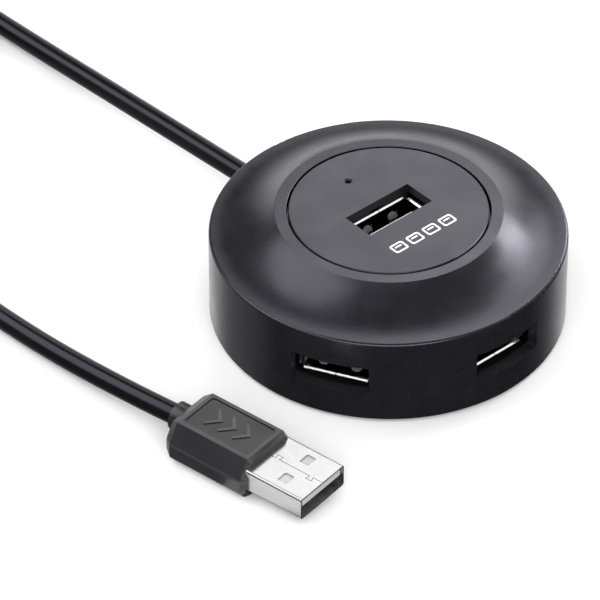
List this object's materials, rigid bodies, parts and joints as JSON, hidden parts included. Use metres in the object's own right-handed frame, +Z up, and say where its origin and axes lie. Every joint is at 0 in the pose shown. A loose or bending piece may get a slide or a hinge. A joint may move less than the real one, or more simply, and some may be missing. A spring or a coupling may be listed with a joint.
{
  "type": "usb hub",
  "caption": "Low round USB hub with sockets round its side and one on top, a status light hole, and a captive lead with a type A plug, its spare length coiled.",
  "frame": {"origin": "under the middle of the round housing, at the height of the rubber feet's undersides", "axes": "+Z up; the front socket faces -Y, the two side sockets face 61 degrees to either side of it, and the lead leaves towards +Y"},
  "size_m": [0.0919, 0.1974, 0.0225],
  "materials": {
    "housing": "satin moulded ABS, near black with a fine texture",
    "disc": "matte moulded ABS, near black",
    "base": "spark-eroded matte ABS",
    "foot": "soft matte rubber",
    "screw": "black-zinc steel",
    "board": "black solder mask",
    "chip": "moulded epoxy",
    "crystal_can": "drawn can",
    "ceramic_chip": "ceramic chip capacitors, satin",
    "led": "clear moulding on white",
    "clear_plastic": "smoked polycarbonate",
    "cord_jacket": "satin PVC",
    "strap": "woven hook-and-loop",
    "plug_metal": "nickel-plated, bright",
    "plug_insulator": "moulded thermoplastic",
    "contact": "gold flash",
    "grip": "satin overmoulded PVC",
    "socket_metal": "nickel-plated sheet",
    "socket_insulator": "moulded thermoplastic",
    "wire_red": "PVC insulation",
    "wire_white": "PVC insulation",
    "wire_green": "PVC insulation",
    "wire_black": "PVC insulation"
  },
  "bodies": {
    "root": {"base_plate": "base", "board_capacitors": "ceramic_chip", "board_resistors": "chip", "case_screws": "screw", "cord_coil": "cord_jacket", "cord_hub_run": "cord_jacket", "cord_plug_run": "cord_jacket", "cord_tie": "strap", "crystal": "crystal_can", "filter_capacitor": "crystal_can", "hub_controller_chip": "chip", "light_pipe": "clear_plastic", "main_board": "board", "plug_contacts": "contact", "plug_grip": "grip", "plug_insulator": "plug_insulator", "plug_shell": "plug_metal", "power_led": "led", "rubber_foot_1": "foot", "rubber_foot_2": "foot", "rubber_foot_3": "foot", "rubber_foot_4": "foot", "socket_contacts_front": "contact", "socket_contacts_left": "contact", "socket_contacts_right": "contact", "socket_contacts_top": "contact", "socket_insulator_front": "socket_insulator", "socket_insulator_left": "socket_insulator", "socket_insulator_right": "socket_insulator", "socket_insulator_top": "socket_insulator", "socket_shell_front": "socket_metal", "socket_shell_left": "socket_metal", "socket_shell_right": "socket_metal", "socket_shell_top": "socket_metal", "strain_relief": "cord_jacket", "top_cover": "housing", "top_disc": "disc", "wire_black": "wire_black", "wire_green": "wire_green", "wire_red": "wire_red", "wire_white": "wire_white"}
  },
  "joints": []
}
